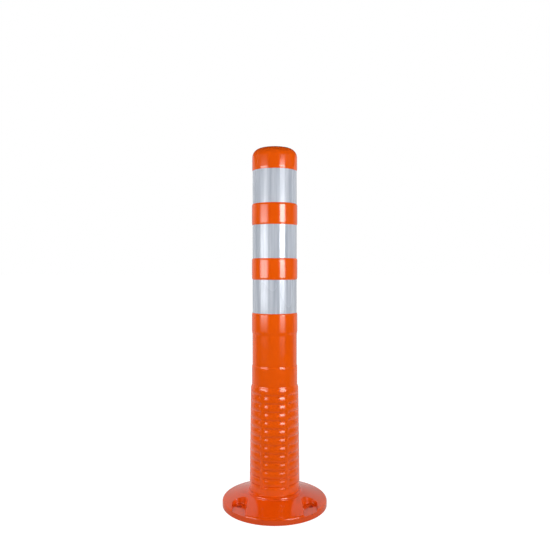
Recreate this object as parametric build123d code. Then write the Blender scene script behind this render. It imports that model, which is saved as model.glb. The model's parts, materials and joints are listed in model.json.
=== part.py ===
from build123d import *
import os
from math import cos, radians, sin

# Flexible delineator post, in millimetres. The origin is on the ground on the post's axis, +Z is up
# and the front of the post looks along -Y. Radii stack outwards from the post, heights up from the ground.

# Post tube: neck, rings and the grooves that take the reflective films
NECK_DIAMETER = 81.4
TUBE_WALL = 3.7
NECK_HEIGHT = 55.5
RING_PROUD = 1.0
RING_HEM_HEIGHT = 2.5
RING_HEM_DEPTH = 0.9
RING_HEM_ROUND = 5.0
RING_CHAMFER_HEIGHT = 5.0
LOWER_RING_HEIGHT = 36.0
RING_HEIGHT = 38.0
BAND_COUNT = 3
BAND_HEIGHT = 61.0

# Reflective films
FILM_THICKNESS = 0.4
FILM_SUNK = 0.3
FILM_GAP = 0.02
FILM_MARGIN = 0.3
FILM_SLIT = 0.6

# Top cap and its plug
CAP_PROUD = 0.6
CAP_HEIGHT = 41.0
CAP_CORNER = 17.0
CAP_WALL = 4.5
CAP_HEM_HEIGHT = 3.5
CAP_HEM_DEPTH = 0.8
CAP_HEM_ROUND = 12.0
PLUG_EDGE_ROUND = 0.8
PLUG_DEPTH = 20.0
PLUG_WALL = 3.0

# Sleeve inside the joint between boot and tube
JOINT_SLEEVE_HALF = 24.5
JOINT_SLEEVE_WALL = 3.0
BOND_GAP = 0.05

# Ribbed boot
HEAD_PROUD = 0.9
HEAD_HEIGHT = 38.5
HEAD_LIP_DROP = 3.3
HEAD_LIP_HEIGHT = 3.0
HEAD_LIP_BULGE = 0.25
HEAD_SHOULDER = 4.0
RIB_COUNT = 12
RIB_PITCH = 14.65
RIB_TOP_RELIEF = 0.55
RIB_FOOT_RELIEF = 0.68
RIB_TOP_PROUD = 2.25
RIB_FOOT_PROUD = 4.27
STRIP_COUNT = 6
STRIP_START_ANGLE = 0.0
STRIP_WIDTH = 5.5
STRIP_PROUD = 0.05
STRIP_ROOT = 2.0
FOOT_PROUD = 4.5
FOOT_HEIGHT = 11.2
BORE_FLARE = 2.0
BORE_SEAT_MARGIN = 2.0
FLANGE_WIDTH = 5.8
FLANGE_THICKNESS = 5.0

# Heights at which the boot bends
HINGE_COUNT = 5
HINGE_MARGIN = 22.5

# Clamp ring, its countersunk screws and their threaded inserts
FIT_GAP = 0.3
CLAMP_RECESS = 0.5
CLAMP_THICKNESS = 3.5
CLAMP_EDGE = 1.2
CLAMP_BORE_GAP = 1.0
SCREW_COUNT = 6
SCREW_DIAMETER = 3.9
SCREW_LENGTH = 9.5
SCREW_HEAD_DIAMETER = 8.0
SCREW_HEAD_LAND = 0.3
SCREW_HOLE_GAP = 0.15
SOCKET_ACROSS_FLATS = 2.5
SOCKET_DEPTH = 1.6
INSERT_LENGTH = 8.0
INSERT_WALL = 0.9
INSERT_EDGE = 1.8
THREAD_GAP = 0.05

# Anchor bolt holes, their pockets and their sleeves
BOLT_COUNT = 3
BOLT_HOLE_DIAMETER = 13.5
BOLT_START_ANGLE = 90.0
SLEEVE_WALL = 2.0
SLEEVE_HEIGHT = 4.0
SLEEVE_EDGE = 1.7
SLEEVE_GAP = 0.05
POCKET_WIDTH = 24.0
POCKET_SKIN = 5.5
POCKET_DRAFT = 15.0
POCKET_FLOOR_ROUND = 1.5
POCKET_EDGE_ROUND = 1.2

# Base flange
RIM_WIDTH = 11.2
RIM_LAND = 1.0
RIM_OVER_FLOOR = 2.5
RIM_ROUND = 4.0
COLLAR_OVER_RIM = 17.0
COLLAR_LAND = 0.2
COLLAR_ROUND = 4.0
COLLAR_WALL = 1.5
COLLAR_DRAFT = 0.2
COLLAR_FOOT_ROUND = 1.5
BASE_EDGE_ROUND = 0.8
KEY_GROOVE_WIDTH = 4.0
KEY_GROOVE_DEPTH = 1.5

# Radii from the post outwards
neck_r = NECK_DIAMETER / 2
bore_r = neck_r - TUBE_WALL
ring_r = neck_r + RING_PROUD
film_r = neck_r - FILM_SUNK
groove_r = film_r - FILM_THICKNESS - FILM_GAP
cap_r = neck_r + CAP_PROUD
head_r = neck_r + HEAD_PROUD
foot_r = neck_r + FOOT_PROUD
foot_bore_r = bore_r + BORE_FLARE
flange_r = foot_r + FLANGE_WIDTH
screw_r = SCREW_DIAMETER / 2
screw_head_r = SCREW_HEAD_DIAMETER / 2
insert_r = screw_r + THREAD_GAP + INSERT_WALL
screw_circle_r = flange_r + FIT_GAP + INSERT_EDGE + insert_r
clamp_r = screw_circle_r + screw_head_r + CLAMP_EDGE
bolt_hole_r = BOLT_HOLE_DIAMETER / 2
sleeve_r = bolt_hole_r + SLEEVE_WALL
bolt_circle_r = clamp_r + FIT_GAP + SLEEVE_EDGE + SLEEVE_GAP + sleeve_r
base_r = bolt_circle_r + POCKET_WIDTH / 2 + RIM_WIDTH

# Heights from the ground up
clamp_top = CLAMP_RECESS + CLAMP_THICKNESS
flange_top = clamp_top + FLANGE_THICKNESS
pocket_floor = SLEEVE_HEIGHT + POCKET_SKIN
rim_top = pocket_floor + RIM_OVER_FLOOR
collar_top = rim_top + COLLAR_OVER_RIM
rib_start = collar_top + FOOT_HEIGHT
rib_end = rib_start + RIB_COUNT * RIB_PITCH
head_start = rib_end + HEAD_SHOULDER
head_top = head_start + HEAD_HEIGHT
neck_top = head_top + NECK_HEIGHT
band_start = neck_top + LOWER_RING_HEIGHT
band_step = BAND_HEIGHT + RING_HEIGHT
tube_top = band_start + BAND_COUNT * band_step - RING_HEIGHT
cap_top = tube_top + CAP_HEIGHT

# Hinge heights, evenly spaced between the collar and the joint sleeve
first_hinge = collar_top + HINGE_MARGIN
last_hinge = head_top - JOINT_SLEEVE_HALF - HINGE_MARGIN
hinge_step = (last_hinge - first_hinge) / (HINGE_COUNT - 1)
hinges = [first_hinge + k * hinge_step for k in range(HINGE_COUNT)]


def turned(edges):
    """Solid of revolution about the post's axis of a closed outline of edges in radius and height."""
    return revolve(Plane.XZ * make_face(edges), Axis.Z)


def turned_corners(*corners):
    """The same for an outline of corners, each a radius, a height and the rounding of that corner."""
    points = [(r, z) for r, z, _ in corners]
    rounds = [rounding for _, _, rounding in corners]
    return turned(FilletPolyline(*points, radius=rounds, close=True))


def pipe(outer, inner, low, high):
    """Plain ring about the post's axis, between two radii and two heights."""
    return turned_corners((inner, low, 0), (outer, low, 0), (outer, high, 0), (inner, high, 0))


def around(count, radius, start=0.0):
    """Places spaced evenly on a circle about the post's axis, each turned to look outwards."""
    angles = [start + 360 / count * k for k in range(count)]
    return [Pos(radius * cos(radians(a)), radius * sin(radians(a)), 0) * Rot(0, 0, a) for a in angles]


def post_tube():
    """Upper tube: neck, lower ring, then a film groove under each ring and one under the cap."""
    hem_r = ring_r - RING_HEM_DEPTH
    outline = [
        (bore_r, head_top, 0),
        (neck_r, head_top, 0),
        (neck_r, neck_top - RING_CHAMFER_HEIGHT / 2, 0),
        (ring_r, neck_top + RING_CHAMFER_HEIGHT / 2, 0),
    ]
    for k in range(BAND_COUNT):
        low = band_start + k * band_step
        high = low + BAND_HEIGHT
        outline += [(ring_r, low - RING_HEM_HEIGHT, RING_HEM_ROUND), (hem_r, low, 0)]
        outline += [(groove_r, low, 0), (groove_r, high, 0)]
        if k < BAND_COUNT - 1:
            outline += [(hem_r, high, 0), (ring_r, high + RING_HEM_HEIGHT, RING_HEM_ROUND)]
    outline.append((bore_r, tube_top, 0))
    return turned_corners(*outline)


def reflective_band(k):
    """Film wrapped round the k-th groove from below, its two ends meeting at the back of the post."""
    low = band_start + k * band_step + FILM_MARGIN
    high = low + BAND_HEIGHT - 2 * FILM_MARGIN
    film = pipe(film_r, groove_r + FILM_GAP, low, high)
    slit = Pos(0, film_r, (low + high) / 2) * Box(FILM_SLIT, film_r, high - low)
    return film - slit


def top_cap():
    """Hollow cap with a rounded crown, and a plug that fits into the tube's mouth."""
    plug_r = bore_r - BOND_GAP
    hollow_r = plug_r - PLUG_WALL
    return turned_corners(
        (hollow_r, tube_top - PLUG_DEPTH, 0),
        (plug_r, tube_top - PLUG_DEPTH, PLUG_EDGE_ROUND),
        (plug_r, tube_top, 0),
        (cap_r - CAP_HEM_DEPTH, tube_top, 0),
        (cap_r, tube_top + CAP_HEM_HEIGHT, CAP_HEM_ROUND),
        (cap_r, cap_top, CAP_CORNER),
        (0, cap_top, 0),
        (0, cap_top - CAP_WALL, 0),
        (hollow_r, cap_top - CAP_WALL, CAP_CORNER - CAP_WALL),
    )


def joint_sleeve():
    """Stiff ring bonded half into the boot's head and half into the tube's neck."""
    outer = bore_r - BOND_GAP
    return pipe(outer, outer - JOINT_SLEEVE_WALL, head_top - JOINT_SLEEVE_HALF, head_top + JOINT_SLEEVE_HALF)


def along_ribs(z, at_foot, at_top):
    """A size that changes evenly with height from the lowest rib to the highest."""
    share = (z - rib_start) / (rib_end - rib_start)
    return at_foot + (at_top - at_foot) * share


def rib_line(z):
    """Mean radius of the ribs at a height."""
    return neck_r + along_ribs(z, RIB_FOOT_PROUD, RIB_TOP_PROUD)


def rib_relief(z):
    """How far the ribs stand out from their mean line, and the grooves lie behind it, at a height."""
    return along_ribs(z, RIB_FOOT_RELIEF, RIB_TOP_RELIEF)


def rib_arcs():
    """Grooves and ribs in turn, each an arc over half a pitch that meets its neighbour on the mean line."""
    half = RIB_PITCH / 2
    arcs = []
    for k in range(2 * RIB_COUNT):
        low = rib_start + k * half
        middle = low + half / 2
        high = low + half
        swing = rib_relief(middle) if k % 2 else -rib_relief(middle)
        crest = rib_line(middle) + swing
        arcs.append(ThreePointArc((rib_line(low), low), (crest, middle), (rib_line(high), high)))
    return arcs


def rib_strips():
    """Smooth upright strips, level with the rib crests, that part the ribs into panels round the boot."""
    low = rib_start
    high = rib_end - RIB_PITCH / 4
    shell = turned_corners(
        (rib_line(low) - STRIP_ROOT, low, 0),
        (rib_line(low) + rib_relief(low) + STRIP_PROUD, low, 0),
        (rib_line(high) + rib_relief(high) + STRIP_PROUD, high, 0),
        (rib_line(high) - STRIP_ROOT, high, 0),
    )
    blade = Pos(0, 0, (low + high) / 2) * Box(2 * foot_r, STRIP_WIDTH, high - low)
    return [shell & place * blade for place in around(STRIP_COUNT, foot_r, STRIP_START_ANGLE)]


def boot():
    """Boot without its strips: foot flange, plain foot, ribs, shoulder, head with a lip, flared bore."""
    lip_end = head_top - HEAD_LIP_DROP
    lip_start = lip_end - HEAD_LIP_HEIGHT
    lip_middle = (neck_r + head_r) / 2 + HEAD_LIP_BULGE
    seat_low = head_top - JOINT_SLEEVE_HALF - BORE_SEAT_MARGIN
    foot = Polyline(
        (foot_bore_r, clamp_top),
        (flange_r, clamp_top),
        (flange_r, flange_top),
        (foot_r, flange_top),
        (foot_r, rib_start - RIB_PITCH / 4),
        (rib_line(rib_start), rib_start),
    )
    head = Polyline((rib_line(rib_end), rib_end), (head_r, head_start), (head_r, lip_start))
    lip = ThreePointArc((head_r, lip_start), (lip_middle, (lip_start + lip_end) / 2), (neck_r, lip_end))
    bore = Polyline(
        (neck_r, lip_end),
        (neck_r, head_top),
        (bore_r, head_top),
        (bore_r, seat_low),
        (foot_bore_r, clamp_top),
    )
    return turned(Curve() + [foot, *rib_arcs(), head, lip, bore])


def boot_segments():
    """The boot cut across at each hinge, from the foot upwards, each length with its part of the strips."""
    whole = boot()
    strips = rib_strips()
    cuts = [clamp_top, *hinges, head_top]
    slabs = [pipe(flange_r + FIT_GAP, 0, low, high) for low, high in zip(cuts, cuts[1:])]
    return [(whole & slab) + [strip & slab for strip in strips] for slab in slabs]


def pocket(centre):
    """Drafted room over one bolt hole: round behind it, then straight out through the front or back rim."""
    outline = Circle(POCKET_WIDTH / 2) + Pos(0, base_r / 2) * Rectangle(POCKET_WIDTH, base_r)
    room = extrude(outline, collar_top, taper=-POCKET_DRAFT)
    room = fillet(room.edges().group_by(Axis.Z)[0], POCKET_FLOOR_ROUND)
    turn = 0 if centre.Y > 0 else 180
    return Pos(centre.X, centre.Y, pocket_floor) * Rot(0, 0, turn) * room


def base_flange():
    """Moulded base: rim, cone, round collar, stepped bore for the boot's foot, bolt pockets, key groove."""
    bore = foot_r + BOND_GAP
    collar_r = bore + COLLAR_LAND + COLLAR_ROUND
    collar_foot = collar_top - COLLAR_ROUND - COLLAR_WALL
    land_r = base_r - RIM_ROUND - RIM_LAND
    body = turned_corners(
        (bore, collar_top, 0),
        (collar_r, collar_top, COLLAR_ROUND),
        (collar_r + COLLAR_DRAFT, collar_foot, COLLAR_FOOT_ROUND),
        (land_r, rim_top, 0),
        (base_r, rim_top, RIM_ROUND),
        (base_r, 0, BASE_EDGE_ROUND),
        (land_r, 0, 0),
        (land_r, KEY_GROOVE_DEPTH, 0),
        (land_r - KEY_GROOVE_WIDTH, KEY_GROOVE_DEPTH, 0),
        (land_r - KEY_GROOVE_WIDTH, 0, 0),
        (clamp_r + FIT_GAP, 0, 0),
        (clamp_r + FIT_GAP, clamp_top, 0),
        (flange_r + FIT_GAP, clamp_top, 0),
        (flange_r + FIT_GAP, flange_top, 0),
        (bore, flange_top, 0),
    )
    up = (Align.CENTER, Align.CENTER, Align.MIN)
    hole = Cylinder(bolt_hole_r, collar_top, align=up)
    seat = Cylinder(sleeve_r + SLEEVE_GAP, SLEEVE_HEIGHT, align=up)
    insert_seat = Pos(0, 0, clamp_top) * Cylinder(insert_r, INSERT_LENGTH, align=up)
    for place in around(SCREW_COUNT, screw_circle_r):
        body -= place * insert_seat
    for place in around(BOLT_COUNT, bolt_circle_r, BOLT_START_ANGLE):
        body -= place * (hole + seat)
        body -= pocket(place.position)
    cone = body.faces().filter_by(GeomType.CONE).sort_by(SortBy.AREA)[-1]
    mouths = [edge for edge in cone.edges() if edge.geom_type != GeomType.CIRCLE]
    return fillet(mouths, POCKET_EDGE_ROUND)


def bolt_sleeves():
    """Steel bushes under the pocket floors, one round each anchor bolt hole."""
    sleeve = pipe(sleeve_r, bolt_hole_r, 0, SLEEVE_HEIGHT)
    return [place * sleeve for place in around(BOLT_COUNT, bolt_circle_r, BOLT_START_ANGLE)]


def screw_outline(gap):
    """Countersunk screw about the Z axis, or with a gap all round the hole that it needs."""
    head = screw_head_r + gap
    shank = screw_r + gap
    cone_start = CLAMP_RECESS + SCREW_HEAD_LAND
    return turned_corners(
        (0, CLAMP_RECESS, 0),
        (head, CLAMP_RECESS, 0),
        (head, cone_start, 0),
        (shank, cone_start + head - shank, 0),
        (shank, CLAMP_RECESS + SCREW_LENGTH, 0),
        (0, CLAMP_RECESS + SCREW_LENGTH, 0),
    )


def clamp_ring():
    """Steel ring under the foot flange, countersunk from below for its screws."""
    ring = pipe(clamp_r, foot_bore_r + CLAMP_BORE_GAP, CLAMP_RECESS, clamp_top)
    hole = screw_outline(SCREW_HOLE_GAP)
    for place in around(SCREW_COUNT, screw_circle_r):
        ring -= place * hole
    return ring


def clamp_screws():
    """Countersunk screws with a hexagon socket, as one group."""
    socket = extrude(RegularPolygon(SOCKET_ACROSS_FLATS / 2, 6, major_radius=False), SOCKET_DEPTH)
    screw = screw_outline(0) - Pos(0, 0, CLAMP_RECESS) * socket
    return Compound(children=[place * screw for place in around(SCREW_COUNT, screw_circle_r)])


def screw_inserts():
    """Threaded brass inserts in the base over the clamp ring, as one group."""
    insert = pipe(insert_r, screw_r + THREAD_GAP, clamp_top, clamp_top + INSERT_LENGTH)
    return Compound(children=[place * insert for place in around(SCREW_COUNT, screw_circle_r)])


nodes = {
    "base_flange": base_flange(),
    "clamp_ring": clamp_ring(),
    "clamp_screws": clamp_screws(),
    "screw_inserts": screw_inserts(),
    "joint_sleeve": joint_sleeve(),
    "post_tube": post_tube(),
    "top_cap": top_cap(),
}
for number, sleeve in enumerate(bolt_sleeves(), 1):
    nodes[f"bolt_sleeve_{number}"] = sleeve
for number, segment in enumerate(boot_segments(), 1):
    nodes[f"boot_segment_{number}"] = segment
for number in range(BAND_COUNT):
    nodes[f"reflective_band_{number + 1}"] = reflective_band(number)

os.makedirs("parts", exist_ok=True)
for name, shape in nodes.items():
    export_step(shape, f"parts/{name}.step")
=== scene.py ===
import json
from math import pi, radians

import bpy
import numpy as np
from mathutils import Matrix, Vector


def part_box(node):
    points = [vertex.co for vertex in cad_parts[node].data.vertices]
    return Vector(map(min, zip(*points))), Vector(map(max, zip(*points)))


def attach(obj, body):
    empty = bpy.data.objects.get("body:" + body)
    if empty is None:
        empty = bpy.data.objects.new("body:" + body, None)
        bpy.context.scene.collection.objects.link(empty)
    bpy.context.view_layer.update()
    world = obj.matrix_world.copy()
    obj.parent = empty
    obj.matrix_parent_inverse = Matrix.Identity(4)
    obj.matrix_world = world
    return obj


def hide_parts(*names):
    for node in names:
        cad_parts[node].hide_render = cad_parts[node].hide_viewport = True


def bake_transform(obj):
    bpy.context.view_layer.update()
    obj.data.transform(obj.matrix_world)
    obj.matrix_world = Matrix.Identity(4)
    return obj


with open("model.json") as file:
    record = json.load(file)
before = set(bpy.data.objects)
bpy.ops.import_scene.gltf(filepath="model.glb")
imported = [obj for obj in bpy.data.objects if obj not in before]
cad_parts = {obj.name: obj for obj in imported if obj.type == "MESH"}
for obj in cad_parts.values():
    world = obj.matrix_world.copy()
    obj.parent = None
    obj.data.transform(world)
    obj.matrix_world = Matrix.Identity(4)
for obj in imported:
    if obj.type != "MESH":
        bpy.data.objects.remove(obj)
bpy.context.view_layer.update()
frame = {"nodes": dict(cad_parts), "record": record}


# Base flange: a thick disc of orange urethane with a collar round the boot's foot and three open pockets
# over the anchor bolt holes. It is poured in a two-part mould and comes out with a glossy, slightly uneven skin.
# Its orange is painted a shade deeper than the post's: painted shade for the weaker light on the low base.
def add_node(tree, kind, inputs=(), **options):
    """A new node. Options are its own settings; an input is a socket's name with a value or a socket to link."""
    made = tree.nodes.new(kind)
    for option, value in options.items():
        setattr(made, option, value)
    for socket, value in dict(inputs).items():
        if isinstance(value, bpy.types.NodeSocket):
            tree.links.new(value, made.inputs[socket])
        else:
            made.inputs[socket].default_value = value
    return made


def new_finish(name):
    """An empty finish: its material, its node tree and the shader whose sockets the finish sets."""
    material = bpy.data.materials.new(name)
    material.use_nodes = True
    return material, material.node_tree, material.node_tree.nodes["Principled BSDF"]


def noise(tree, scale, detail=2.0, stretch=(1, 1, 1)):
    """Cloud pattern over the piece's own place, in blobs of about one part in scale of a metre."""
    place = add_node(tree, "ShaderNodeTexCoord").outputs["Object"]
    drawn = add_node(tree, "ShaderNodeMapping", {"Vector": place, "Scale": stretch}).outputs["Vector"]
    return add_node(tree, "ShaderNodeTexNoise", {"Vector": drawn, "Scale": scale, "Detail": detail}).outputs["Fac"]


def spread(tree, pattern, low, high, start=0.3, end=0.7):
    """A pattern drawn out from low, where it is at start, to high, where it is at end."""
    limits = {"Value": pattern, "From Min": start, "From Max": end, "To Min": low, "To Max": high}
    return add_node(tree, "ShaderNodeMapRange", limits).outputs["Result"]


def two_colours(tree, pattern, first, second, start=0.3, end=0.7):
    """A colour that goes from the first to the second as the pattern goes from start to end."""
    ramp = add_node(tree, "ShaderNodeValToRGB", {"Fac": pattern})
    for element, place, colour in zip(ramp.color_ramp.elements, (start, end), (first, second)):
        element.position = place
        element.color = (*colour, 1)
    return ramp.outputs["Color"]


def bumped(tree, shader, *layers):
    """Relief on a shader: each layer is a height pattern and its depth in metres, one on top of the other."""
    normal = None
    for height, depth in layers:
        inputs = {"Height": height, "Strength": 1.0, "Distance": depth}
        if normal:
            inputs["Normal"] = normal
        normal = add_node(tree, "ShaderNodeBump", inputs).outputs["Normal"]
    tree.links.new(normal, shader.inputs["Normal"])


def make_orange_urethane(name, deep, bright):
    """Dyed urethane: slow clouds of two oranges, a skin that waves a little, fine orange peel, uneven gloss."""
    material, tree, shader = new_finish(name)
    colour = two_colours(tree, noise(tree, 14.0, 4.0), deep, bright)
    tree.links.new(colour, shader.inputs["Base Color"])
    tree.links.new(spread(tree, noise(tree, 70.0, 3.0), 0.1, 0.16), shader.inputs["Roughness"])
    shader.inputs["IOR"].default_value = 1.6
    bumped(tree, shader, (noise(tree, 45.0), 0.00006), (noise(tree, 900.0), 0.000006))
    return material


def finished(piece, material):
    """The piece with this material all over."""
    piece.data.materials.clear()
    piece.data.materials.append(material)
    return piece


# Deeper oranges than the post's: painted shade on the base, the same urethane as the post.
base_urethane = make_orange_urethane("base_urethane", (0.74, 0.067, 0.0006), (0.8, 0.079, 0.0012))
finished(frame["nodes"]["base_flange"], base_urethane)


# Bolt sleeves: three steel bushes set flush into the base's underside, one round each anchor bolt hole.
# They are cut from tube and zinc plated, and they take the bolts' load off the urethane.
def make_zinc_steel():
    """Zinc plate: pale blue-grey metal with a faint spangle of crystals and a patchy, half-dull gloss."""
    material, tree, shader = new_finish("zinc_steel")
    place = add_node(tree, "ShaderNodeTexCoord").outputs["Object"]
    crystals = add_node(tree, "ShaderNodeTexVoronoi", {"Vector": place, "Scale": 420.0}).outputs["Color"]
    grey = add_node(tree, "ShaderNodeRGBToBW", {"Color": crystals}).outputs["Val"]
    colour = two_colours(tree, grey, (0.38, 0.39, 0.41), (0.5, 0.51, 0.53))
    tree.links.new(colour, shader.inputs["Base Color"])
    tree.links.new(spread(tree, noise(tree, 160.0, 4.0), 0.28, 0.48), shader.inputs["Roughness"])
    shader.inputs["Metallic"].default_value = 1.0
    bumped(tree, shader, (noise(tree, 1400.0), 0.00001))
    return material


zinc_steel = make_zinc_steel()
for number in (1, 2, 3):
    finished(frame["nodes"][f"bolt_sleeve_{number}"], zinc_steel)


# Threaded inserts: six turned brass bushes moulded into the base, one over each screw of the clamp ring.
# Only their lower ends come to the surface, behind the ring.
def make_brass():
    """Turned brass: warm metal with fine tool rings up its length and a little tarnish in clouds."""
    material, tree, shader = new_finish("brass")
    colour = two_colours(tree, noise(tree, 300.0, 3.0), (0.62, 0.42, 0.15), (0.76, 0.56, 0.24))
    tree.links.new(colour, shader.inputs["Base Color"])
    tree.links.new(spread(tree, noise(tree, 240.0), 0.22, 0.36), shader.inputs["Roughness"])
    shader.inputs["Metallic"].default_value = 1.0
    place = add_node(tree, "ShaderNodeTexCoord").outputs["Object"]
    rings = {"Vector": place, "Scale": 800.0}
    tool = add_node(tree, "ShaderNodeTexWave", rings, bands_direction="Z").outputs["Fac"]
    bumped(tree, shader, (tool, 0.00001))
    return material


finished(frame["nodes"]["screw_inserts"], make_brass())


# Clamp ring and its six countersunk screws: a flat steel ring that holds the boot's foot flange up into the
# base, zinc plated as the sleeves are, and screwed into the inserts from below.
for name in ("clamp_ring", "clamp_screws"):
    finished(frame["nodes"][name], zinc_steel)


# Ribbed boot: the soft lower part of the post, one urethane moulding. Twelve shallow ribs run round it in six
# panels with smooth upright strips between them, over a plain foot and under a plain head with a rounded lip.
# It is drawn in five lengths, as many as the frame has hinges.
FOOT_FLANGE_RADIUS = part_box("boot_segment_1")[1].x
FOOT_FLANGE_TOP = 0.009
FOOT_RADIUS = 0.0452
FOOT_END = 0.0365
RIB_START = 0.0402
RIB_PITCH = 0.01465
RIB_COUNT = 12
RIB_END = RIB_START + RIB_COUNT * RIB_PITCH
RIB_FOOT_RADIUS = 0.04497
RIB_TOP_RADIUS = 0.04295
RIB_FOOT_RELIEF = 0.00068
RIB_TOP_RELIEF = 0.00055
RIB_PLACES = (0, 0.1, 0.22, 0.78, 1)
RIB_SLOPES = (0, 0.8, 0.1, -0.33, 0)
RIB_SAMPLES = 401
RIB_RUN_IN = 0.25
RIB_RUN_OUT = 0.125
FIRST_GROOVE = 0.25
STRIP_COUNT = 6
STRIP_HALF = radians(2.6)
STRIP_FADE = radians(4.0)
HEAD_START = 0.22
HEAD_RADIUS = 0.0416
SHOULDER_EASE = 0.5
LIP_DROP = 0.0033
LIP_HEIGHT = 0.003
LIP_BULGE = 0.00025
NECK_RADIUS = 0.0407
BORE_RADIUS = 0.037
BORE_FOOT_RADIUS = 0.039
BORE_SEAT = 0.232
ROW = 0.0006
END_ROW = 0.00003
COLUMNS = 288

boot_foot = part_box("boot_segment_1")[0].z
boot_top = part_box("boot_segment_6")[1].z
collar_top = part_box("base_flange")[1].z
round_angles = np.linspace(-pi, pi, COLUMNS, endpoint=False)


def arch(share):
    """Parabola that is 0 at shares 0 and 1, 1 halfway, and stays 0 outside them."""
    inside = np.clip(share, 0, 1)
    return 4 * inside * (1 - inside)


def smooth_step(value):
    """Soft step: 0 below 0, 1 above 1, and 3 v squared less 2 v cubed between them."""
    inside = np.clip(value, 0, 1)
    return inside * inside * (3 - 2 * inside)


def panel_share(angle):
    """How far the ribs are cut in at an angle: 0 on the strips, which stand evenly round the boot from angle 0,
    and 1 in the panels, with a soft step between them."""
    pitch = 2 * pi / STRIP_COUNT
    away = np.abs((angle + pitch / 2) % pitch - pitch / 2)
    return smooth_step((away - STRIP_HALF) / STRIP_FADE)


def rib_level(place):
    """Height of a rib's skin, from -1 in the groove to 1 on the crest, at a place counted in ribs from a groove.
    It is the running sum of a slope that is steep on the rib's lower flank and gentle on its upper one, less its
    drift over one rib."""
    fine = np.linspace(0, 1, RIB_SAMPLES)
    climbed = np.cumsum(np.interp(fine, RIB_PLACES, RIB_SLOPES))
    climbed -= fine * climbed[-1]
    return np.interp(place % 1, fine, 2 * (climbed - climbed.min()) / np.ptp(climbed) - 1)


def boot_outside(height, angle):
    """Radius of the boot at heights (down) and angles (across): straight runs of foot, ribs' mean line, shoulder,
    head and lip, plus one arch outwards for the lip, plus the ribs. The shoulder is eased at both ends, part of
    the way from a straight run to a soft step. The ribs start and end in soft steps, and on the strips they give
    way to a smooth skin at the level of their crests."""
    lip_end = boot_top - LIP_DROP
    lip = lip_end - LIP_HEIGHT
    stations = (FOOT_FLANGE_TOP, FOOT_END, RIB_START, RIB_END, HEAD_START, lip, lip_end)
    radii = (FOOT_RADIUS, FOOT_RADIUS, RIB_FOOT_RADIUS, RIB_TOP_RADIUS, HEAD_RADIUS, HEAD_RADIUS, NECK_RADIUS)
    line = np.interp(height, stations, radii)
    shoulder = np.clip((height - RIB_END) / (HEAD_START - RIB_END), 0, 1)
    line += (HEAD_RADIUS - RIB_TOP_RADIUS) * SHOULDER_EASE * (smooth_step(shoulder) - shoulder)
    depth = np.interp(height, (RIB_START, RIB_END), (RIB_FOOT_RELIEF, RIB_TOP_RELIEF))
    place = np.clip((height - RIB_START) / RIB_PITCH, 0, RIB_COUNT)
    crests = smooth_step(place / RIB_RUN_IN) * smooth_step((RIB_COUNT - place) / RIB_RUN_OUT)
    ribs = crests * rib_level(place - FIRST_GROOVE)
    panel = panel_share(angle)
    relief = depth[:, None] * (ribs[:, None] * panel + crests[:, None] * (1 - panel))
    return relief + (line + LIP_BULGE * arch((height - lip) / LIP_HEIGHT))[:, None]


def boot_bore(height):
    """Radius of the boot's hollow: it narrows evenly from the foot to the seat of the joint sleeve."""
    return np.interp(height, (boot_foot, BORE_SEAT), (BORE_FOOT_RADIUS, BORE_RADIUS))


def turned_mesh(name, radius, height, angle):
    """Solid of revolution: point i of the outline stands at radius and height i for every angle, so that
    x = radius cos(angle) and y = radius sin(angle). Bands of quads join neighbouring outline points. An outline
    that starts and ends on the axis is closed there by fans, and any other by a band back to its first point.
    The outline runs up the outside of the wall and down its inside."""
    radius, height = np.broadcast_arrays(radius.reshape(len(height), -1), height[:, None])
    capped = radius[0, 0] == 0
    rings = slice(1, -1) if capped else slice(None)
    ring_r = np.broadcast_to(radius[rings], (len(height[rings]), len(angle)))
    ring_z = np.broadcast_to(height[rings, :1], ring_r.shape)
    points = np.stack([ring_r * np.cos(angle), ring_r * np.sin(angle), ring_z], axis=-1).reshape(-1, 3)
    index = np.arange(len(points)).reshape(ring_r.shape)
    beside = np.roll(index, -1, axis=1)
    upper, upper_beside = (index[1:], beside[1:]) if capped else (np.roll(index, -1, 0), np.roll(beside, -1, 0))
    lower, lower_beside = (index[:-1], beside[:-1]) if capped else (index, beside)
    faces = np.stack([lower, lower_beside, upper_beside, upper], axis=-1).reshape(-1, 4).tolist()
    if capped:
        poles = np.array([(0, 0, height[0, 0]), (0, 0, height[-1, 0])])
        first, last = len(points), len(points) + 1
        points = np.concatenate([points, poles])
        fan = np.full(len(angle), first)
        faces += np.stack([fan, beside[0], index[0]], axis=-1).tolist()
        faces += np.stack([index[-1], beside[-1], fan * 0 + last], axis=-1).tolist()
    return meshed(name, points, faces)


def meshed(name, points, faces):
    """Object with these points and faces, smooth but for edges that turn by more than a third of a right angle."""
    mesh = bpy.data.meshes.new(name)
    mesh.from_pydata(points, [], faces)
    mesh.polygons.foreach_set("use_smooth", np.ones(len(mesh.polygons), bool))
    mesh.set_sharp_from_angle(angle=radians(30))
    mesh.update()
    piece = bpy.data.objects.new(name, mesh)
    bpy.context.scene.collection.objects.link(piece)
    return piece


def boot_length(name, low, high):
    """One length of the boot between two heights, with a thin row at each end so that its shading runs on."""
    start = max(low, FOOT_FLANGE_TOP)
    inner_rows = np.linspace(start + END_ROW, high - END_ROW, round((high - start) / ROW))
    rows = np.concatenate([[start], inner_rows, [high]])
    outside = boot_outside(rows, round_angles)
    if low < FOOT_FLANGE_TOP:
        flange = np.full((2, COLUMNS), FOOT_FLANGE_RADIUS)
        outside = np.concatenate([flange, outside])
        rows = np.concatenate([[low, FOOT_FLANGE_TOP], rows])
    hollow = np.array([high, BORE_SEAT, low]) if low < BORE_SEAT < high else np.array([high, low])
    wall = np.broadcast_to(boot_bore(hollow)[:, None], (len(hollow), COLUMNS))
    return turned_mesh(name, np.concatenate([outside, wall]), np.concatenate([rows, hollow]), round_angles)


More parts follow.
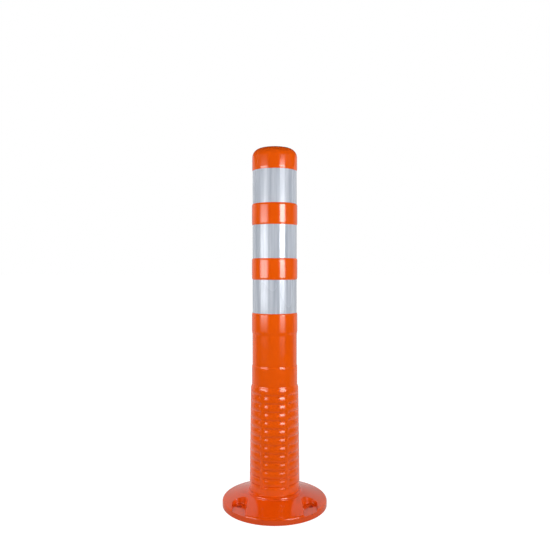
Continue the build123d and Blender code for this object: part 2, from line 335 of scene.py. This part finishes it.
def hinge(name):
    """Height of one of the frame's hinges."""
    return next(joint for joint in frame["record"]["behaviour"]["joints"] if joint["name"] == name)["pos_m"][2]


orange_urethane = make_orange_urethane("orange_urethane", (0.82, 0.094, 0.0006), (0.88, 0.108, 0.0012))
chain = ("base", "flex_1", "flex_2", "flex_3", "flex_4", "post")
hinges = [hinge(name) for name in ("bend_foot", "lean_lower", "bend_middle", "lean_upper", "bend_head")]
BEND_HALF = hinges[0] - collar_top
bend_ends = [hinges[0] + BEND_HALF, hinges[2] - BEND_HALF, hinges[2] + BEND_HALF, hinges[4] - BEND_HALF]
cuts = (boot_foot, *bend_ends, boot_top)
for number, (below, above) in enumerate(zip(chain, chain[1:])):
    length = boot_length(f"boot_length_{number + 1}", cuts[number], cuts[number + 1])
    finished(length, orange_urethane)
    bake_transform(length)
    rings = (5, 6) if above == "post" else (number + 1,)
    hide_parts(*(f"boot_segment_{ring}" for ring in rings))


# Joint sleeve: a stiff ring of black nylon, half in the boot's head and half in the tube's neck.
# It is bonded to both and doesn't show from outside.
def make_black_nylon():
    """Moulded nylon: near black, matt, with a fine grain and slightly paler clouds."""
    material, tree, shader = new_finish("black_nylon")
    colour = two_colours(tree, noise(tree, 80.0, 4.0), (0.018, 0.018, 0.02), (0.035, 0.035, 0.037))
    tree.links.new(colour, shader.inputs["Base Color"])
    tree.links.new(spread(tree, noise(tree, 500.0), 0.5, 0.65), shader.inputs["Roughness"])
    bumped(tree, shader, (noise(tree, 2000.0), 0.00002))
    return material


finished(frame["nodes"]["joint_sleeve"], make_black_nylon())


# Post tube: the stiff upper tube, one urethane moulding. A plain neck stands on the boot, then the wall swells
# into a lower ring, and two more rings with softened edges stand between the grooves of the films.
RING_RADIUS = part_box("post_tube")[1].x
GROOVE_RADIUS = 0.03998
RING_SWELL_START = 0.3115
RING_SWELL_END = 0.3165
SWELL_FOOT_ROUND = 0.02
SWELL_HEAD_ROUND = 0.012
RING_HEM_HEIGHT = 0.0025
RING_HEM_DEPTH = 0.0009
RING_HEM_ROUND = 0.005
BAND_START = 0.350
BAND_HEIGHT = 0.061
BAND_STEP = 0.099
BAND_COUNT = 3

tube_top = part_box("post_tube")[1].z


def rounded(corners, steps=6):
    """Outline through corners, each a radius, a height and a rounding. A rounded corner becomes an arc that
    touches both sides, its points found by turning evenly from one touching point's spoke to the other's."""
    corners = np.array(corners, float)
    outline = []
    for before, corner, after in zip(np.roll(corners, 1, 0), corners, np.roll(corners, -1, 0)):
        if corner[2] == 0:
            outline.append(corner[None, :2])
            continue
        back, on = (side[:2] - corner[:2] for side in (before, after))
        back, on = back / np.linalg.norm(back), on / np.linalg.norm(on)
        half = np.arccos(np.clip(back @ on, -1, 1)) / 2
        middle = corner[:2] + (back + on) / np.linalg.norm(back + on) * corner[2] / np.sin(half)
        spokes = [corner[:2] + way * corner[2] / np.tan(half) - middle for way in (back, on)]
        turn = pi - 2 * half
        share = np.linspace(0, 1, steps + 1)[:, None]
        swept = np.sin((1 - share) * turn) * spokes[0] + np.sin(share * turn) * spokes[1]
        outline.append(middle + swept / np.sin(turn))
    return np.concatenate(outline)


tube_corners = [
    (BORE_RADIUS, boot_top, 0),
    (NECK_RADIUS, boot_top, 0),
    (NECK_RADIUS, RING_SWELL_START, SWELL_FOOT_ROUND),
    (RING_RADIUS, RING_SWELL_END, SWELL_HEAD_ROUND),
]
for band in range(BAND_COUNT):
    low = BAND_START + band * BAND_STEP
    high = low + BAND_HEIGHT
    tube_corners += [(RING_RADIUS, low - RING_HEM_HEIGHT, RING_HEM_ROUND), (RING_RADIUS - RING_HEM_DEPTH, low, 0)]
    tube_corners += [(GROOVE_RADIUS, low, 0), (GROOVE_RADIUS, high, 0)]
    if band < BAND_COUNT - 1:
        tube_corners.append((RING_RADIUS - RING_HEM_DEPTH, high, 0))
        tube_corners.append((RING_RADIUS, high + RING_HEM_HEIGHT, RING_HEM_ROUND))
tube_corners.append((BORE_RADIUS, tube_top, 0))
tube_outline = rounded(tube_corners)
tube = turned_mesh("upper_tube", tube_outline[:, 0], tube_outline[:, 1], round_angles)
finished(tube, orange_urethane)
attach(tube, "post")
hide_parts("post_tube")


# Reflective films: three strips of silver film, each wrapped once round its groove and glued down, with the two
# ends butted at the back. A clear glossy face lies over fine glass beads, and the strip isn't quite even.
FILM_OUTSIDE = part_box("reflective_band_1")[1].x
FILM_THICKNESS = 0.0004
FILM_MARGIN = 0.0003
FILM_SLIT = 0.0006
FILM_WAVE = 0.00006
FILM_ROWS = 40


def make_reflective_film():
    """Silver film: grey beads with faint upright streaks and a fine grain, under a clear coat that waves and has
    gone dull in a few broad patches."""
    material, tree, shader = new_finish("reflective_film")
    streaks = noise(tree, 220.0, 3.0, stretch=(1, 1, 0.03))
    colour = two_colours(tree, streaks, (0.41, 0.45, 0.52), (0.63, 0.67, 0.74))
    tree.links.new(colour, shader.inputs["Base Color"])
    dull = noise(tree, 19.0, 0.0, stretch=(1, 1, 0.45))
    tree.links.new(spread(tree, dull, 0.15, 0.5, 0.4, 0.8), shader.inputs["Roughness"])
    tree.links.new(spread(tree, dull, 0.05, 0.5, 0.4, 0.8), shader.inputs["Coat Roughness"])
    shader.inputs["Metallic"].default_value = 0.08
    shader.inputs["Coat Weight"].default_value = 0.28
    bumped(tree, shader, (noise(tree, 60.0, 2.0, stretch=(1, 1, 0.3)), 0.0002), (noise(tree, 2600.0), 0.000006))
    return material


def film_strip(name, low, high, phase):
    """Wrapped strip: a rectangle of film thickness by height carried round the post from one side of the slit
    at the back to the other. The outer face stands a little proud in slow waves, the sum of two sines of angle
    and height, and is flat at its edges. Two end faces close it."""
    back = pi / 2
    gap = FILM_SLIT / 2 / FILM_OUTSIDE
    angle = np.linspace(back + gap, back + 2 * pi - gap, COLUMNS + 1)
    rows = np.linspace(low, high, FILM_ROWS)
    share = (rows - low) / (high - low)
    waves = 1 + 0.5 * np.sin(5 * angle + phase) + 0.5 * np.sin(3 * angle - 2 * phase + 7 * share[:, None])
    outer = FILM_OUTSIDE + FILM_WAVE * waves * np.sqrt(arch(share))[:, None]
    inner = np.full_like(outer[:2], FILM_OUTSIDE - FILM_THICKNESS)
    radius = np.concatenate([outer, inner])
    height = np.concatenate([rows, [high, low]])[:, None] + 0 * angle
    points = np.stack([radius * np.cos(angle), radius * np.sin(angle), height], axis=-1).reshape(-1, 3)
    index = np.arange(len(points)).reshape(radius.shape)
    above = np.roll(index, -1, axis=0)
    faces = np.stack([index[:, :-1], index[:, 1:], above[:, 1:], above[:, :-1]], axis=-1).reshape(-1, 4).tolist()
    faces += [index[::-1, 0].tolist(), index[:, -1].tolist()]
    return meshed(name, points, faces)


reflective_film = make_reflective_film()
for band in range(BAND_COUNT):
    low = BAND_START + band * BAND_STEP + FILM_MARGIN
    strip = film_strip(f"film_{band + 1}", low, low + BAND_HEIGHT - 2 * FILM_MARGIN, phase=1.3 * band)
    finished(strip, reflective_film)
    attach(strip, "post")
    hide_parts(f"reflective_band_{band + 1}")


# Top cap: a hollow urethane cap with a broad rounded crown and a softened lower edge. Its plug is pressed and
# glued into the tube's mouth, so that no joint shows but the edge over the top film.
CAP_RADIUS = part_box("top_cap")[1].x
CAP_CORNER = 0.017
CAP_WALL = 0.0045
CAP_HEM_HEIGHT = 0.0035
CAP_HEM_DEPTH = 0.0008
CAP_HEM_ROUND = 0.012
PLUG_EDGE_ROUND = 0.0008
PLUG_RADIUS = 0.03695
PLUG_HOLLOW = 0.03395

plug_foot, cap_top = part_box("top_cap")[0].z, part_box("top_cap")[1].z
cap_outline = rounded([
    (0, cap_top - CAP_WALL, 0),
    (PLUG_HOLLOW, cap_top - CAP_WALL, CAP_CORNER - CAP_WALL),
    (PLUG_HOLLOW, plug_foot, 0),
    (PLUG_RADIUS, plug_foot, PLUG_EDGE_ROUND),
    (PLUG_RADIUS, tube_top, 0),
    (CAP_RADIUS - CAP_HEM_DEPTH, tube_top, 0),
    (CAP_RADIUS, tube_top + CAP_HEM_HEIGHT, CAP_HEM_ROUND),
    (CAP_RADIUS, cap_top, CAP_CORNER),
    (0, cap_top, 0),
], steps=16)
cap = turned_mesh("cap", cap_outline[:, 0], cap_outline[:, 1], round_angles)
finished(cap, orange_urethane)
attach(cap, "post")
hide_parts("top_cap")


# Floor: a wide pale studio floor that goes over into the white background. To the camera it is white with a
# soft shadow; to the object it is a plain mid-grey floor that shines only behind it.
FLOOR_HALF = 30.0
FLOOR_GREY = 0.3
SHADOW_LIGHT = 0.86
SHADOW_START = 0.05
SHADOW_REACH = 0.6
FRONT_LIGHT = 0.03
FRONT_END = -0.3
REAR_LIGHT = 0.68
REAR_START = 0.16
SIDE_SHARE = 0.1
SIDE_START = 0.5
SIDE_END = 1.5


def sideways(tree, place):
    """Distance of a place from the middle plane, to the left or to the right."""
    across = add_node(tree, "ShaderNodeSeparateXYZ", {0: place}).outputs["X"]
    return add_node(tree, "ShaderNodeMath", {0: across}, operation="ABSOLUTE").outputs[0]


def make_studio_floor():
    """Pale floor: a matt grey that takes the shadow, with a light of its own for the camera, less near the object.
    Reflections see a floor that is dark in front of the object, pale beside and behind it, and dark again far
    to the left and right."""
    material, tree, shader = new_finish("studio_floor")
    tree.nodes.remove(shader)
    place = add_node(tree, "ShaderNodeTexCoord").outputs["Object"]
    far = add_node(tree, "ShaderNodeVectorMath", {0: place}, operation="LENGTH").outputs["Value"]
    depth = add_node(tree, "ShaderNodeSeparateXYZ", {0: place}).outputs["Y"]
    path = add_node(tree, "ShaderNodeLightPath").outputs
    camera_light = spread(tree, far, SHADOW_LIGHT, 1.0, SHADOW_START, SHADOW_REACH)
    behind = spread(tree, depth, FRONT_LIGHT, REAR_LIGHT, FRONT_END, REAR_START)
    near = spread(tree, sideways(tree, place), 1.0, SIDE_SHARE, SIDE_START, SIDE_END)
    mirror_light = add_node(tree, "ShaderNodeMath", {0: behind, 1: near}, operation="MULTIPLY").outputs[0]
    seen = add_node(tree, "ShaderNodeMath", {0: path["Is Camera Ray"], 1: camera_light}, operation="MULTIPLY")
    shiny = add_node(tree, "ShaderNodeMath", {0: path["Is Glossy Ray"], 1: path["Is Transmission Ray"]},
                     operation="MAXIMUM")
    glow = add_node(tree, "ShaderNodeEmission", {"Strength": seen.outputs[0]}).outputs[0]
    mirrored = add_node(tree, "ShaderNodeEmission", {"Strength": mirror_light}).outputs[0]
    matt = add_node(tree, "ShaderNodeBsdfDiffuse", {"Color": (FLOOR_GREY, FLOOR_GREY, FLOOR_GREY, 1)}).outputs[0]
    plain = add_node(tree, "ShaderNodeAddShader", {0: matt, 1: glow}).outputs[0]
    both = add_node(tree, "ShaderNodeMixShader", {0: shiny.outputs[0], 1: plain, 2: mirrored}).outputs[0]
    tree.links.new(both, tree.nodes["Material Output"].inputs["Surface"])
    return material


side = np.array([-1, 1]) * FLOOR_HALF
floor_points = np.stack([side[[0, 1, 1, 0]], side[[0, 0, 1, 1]], np.zeros(4)], axis=-1)
floor = meshed("floor", floor_points, [(0, 1, 2, 3)])
finished(floor, make_studio_floor())


# Backdrop: a pale sheet that hangs behind the post, as high as the camera's view. Only shiny surfaces see it;
# to the camera the background is plain white.
BACKDROP_DEPTH = 0.55
BACKDROP_HALF = 2.4
BACKDROP_TOP = 0.82
BACKDROP_LIGHT = 0.58
BACKDROP_SIDE_LIGHT = 0.05


def make_backdrop_white():
    """Sheet that shines by itself, evenly in its middle third, and less and less towards its sides."""
    material, tree, shader = new_finish("backdrop_white")
    tree.nodes.remove(shader)
    place = add_node(tree, "ShaderNodeTexCoord").outputs["Object"]
    away = sideways(tree, place)
    light = spread(tree, away, BACKDROP_LIGHT, BACKDROP_SIDE_LIGHT, BACKDROP_HALF / 3, BACKDROP_HALF)
    glow = add_node(tree, "ShaderNodeEmission", {"Strength": light}).outputs[0]
    tree.links.new(glow, tree.nodes["Material Output"].inputs["Surface"])
    return material


sheet_x = np.array([-1, 1, 1, -1]) * BACKDROP_HALF
sheet_z = np.array([0, 0, 1, 1]) * BACKDROP_TOP
sheet = meshed("backdrop", np.stack([sheet_x, np.full(4, BACKDROP_DEPTH), sheet_z], axis=-1), [(0, 1, 2, 3)])
finished(sheet, make_backdrop_white())
sheet.visible_camera = False
sheet.visible_diffuse = False
sheet.visible_shadow = False


# Studio light: two upright softboxes at the front, bright and slim on the right, wide and dim on the left,
# each fading towards its edges. Four plain lamps, which shiny surfaces don't show, light the post's two sides
# and its back.
def softbox(name, azimuth, distance, low, high, width, radiance, fade_in, fade_out, fade_side):
    """Upright lamp at an azimuth from the front, looking level at the post. Its light rises from its lower edge
    over the share fade_in of its height, falls over fade_out below its upper edge, and fades to both sides over
    the share fade_side of its width. Each fade is a soft step, and they are multiplied."""
    tall = high - low
    lamp = bpy.data.lights.new(name, "AREA")
    lamp.shape = "RECTANGLE"
    lamp.size, lamp.size_y = width, tall
    lamp.energy = radiance * pi * width * tall
    lamp.use_nodes = True
    tree = lamp.node_tree
    across = add_node(tree, "ShaderNodeNewGeometry").outputs["Parametric"]
    sides, share = add_node(tree, "ShaderNodeSeparateXYZ", {0: across}).outputs[:2]
    strength = 1.0
    upright_fades = ((share, 0, fade_in), (share, 1, 1 - fade_out))
    side_fades = ((sides, 0, fade_side), (sides, 1, 1 - fade_side))
    for place, start, end in upright_fades + side_fades:
        limits = {"Value": place, "From Min": start, "From Max": end, "To Max": strength}
        strength = add_node(tree, "ShaderNodeMapRange", limits, interpolation_type="SMOOTHSTEP").outputs["Result"]
    tree.links.new(strength, tree.nodes["Emission"].inputs["Strength"])
    holder = bpy.data.objects.new(name, lamp)
    bpy.context.scene.collection.objects.link(holder)
    turn = radians(azimuth)
    holder.location = (distance * np.sin(turn), -distance * np.cos(turn), (low + high) / 2)
    holder.rotation_euler = (pi / 2, 0, turn)
    holder.visible_camera = False


softbox("right_softbox", azimuth=39.0, distance=1.2, low=0.08, high=0.92, width=0.62, radiance=13.8,
        fade_in=0.64, fade_out=0.29, fade_side=0.12)
softbox("left_softbox", azimuth=-55.0, distance=1.2, low=0.15, high=0.95, width=1.15, radiance=6.6,
        fade_in=0.3, fade_out=0.66, fade_side=0.28)


LAMP_SIZE = 0.9
LAMP_DISTANCE = 2.0


def plain_lamp(name, azimuth, elevation, radiance):
    """Square lamp at an azimuth from the front and an elevation, looking at the middle of the post."""
    lamp = bpy.data.lights.new(name, "AREA")
    lamp.size = LAMP_SIZE
    lamp.energy = radiance * pi * LAMP_SIZE ** 2
    holder = bpy.data.objects.new(name, lamp)
    bpy.context.scene.collection.objects.link(holder)
    turn, rise = radians(azimuth), radians(elevation)
    level = LAMP_DISTANCE * np.cos(rise)
    holder.location = (level * np.sin(turn), -level * np.cos(turn), cap_top / 2 + LAMP_DISTANCE * np.sin(rise))
    holder.rotation_euler = (pi / 2 - rise, 0, turn)
    holder.visible_camera = False
    holder.visible_glossy = False


plain_lamp("back_left_lamp", azimuth=-140, elevation=25, radiance=3.2)
plain_lamp("back_right_lamp", azimuth=140, elevation=25, radiance=3.2)
plain_lamp("left_lamp", azimuth=-95, elevation=22, radiance=5.6)
plain_lamp("right_lamp", azimuth=75, elevation=15, radiance=2.0)


# World: white to the camera. Shiny surfaces see a dark room beyond the backdrop, and everything else gets an
# even, weak fill.
FILL = 0.1
DARK_ROOM = 0.03

world = bpy.data.worlds.new("studio")
bpy.context.scene.world = world
world.use_nodes = True
room = world.node_tree
path = add_node(room, "ShaderNodeLightPath").outputs
shiny = add_node(room, "ShaderNodeMath", {0: path["Is Glossy Ray"], 1: path["Is Transmission Ray"]},
                 operation="MAXIMUM").outputs[0]
lit = add_node(room, "ShaderNodeMix", {0: shiny, 2: FILL, 3: DARK_ROOM}).outputs[0]
strength = add_node(room, "ShaderNodeMath", {0: path["Is Camera Ray"], 1: lit}, operation="MAXIMUM").outputs[0]
background = room.nodes["Background"]
background.inputs["Color"].default_value = (1, 1, 1, 1)
room.links.new(strength, background.inputs["Strength"])


# Camera: level, a little over a metre in front of the post and at two thirds of its height.
# Its lens, height and shift are fitted to the photograph's ellipses and outline.
IMAGE = 550
FOCUS = 582.38
CENTRE_RIGHT = 0.35
CENTRE_UP = -7.67
CAMERA_PLACE = (0, -1.0688, 0.4329)

lens = bpy.data.cameras.new("camera")
lens.sensor_width = 36.0
lens.lens = FOCUS / IMAGE * lens.sensor_width
lens.shift_x = CENTRE_RIGHT / IMAGE
lens.shift_y = CENTRE_UP / IMAGE
camera = bpy.data.objects.new("camera", lens)
bpy.context.scene.collection.objects.link(camera)
camera.location = CAMERA_PLACE
camera.rotation_euler = (pi / 2, 0, 0)
bpy.context.scene.camera = camera
bpy.context.scene.view_settings.view_transform = "Standard"
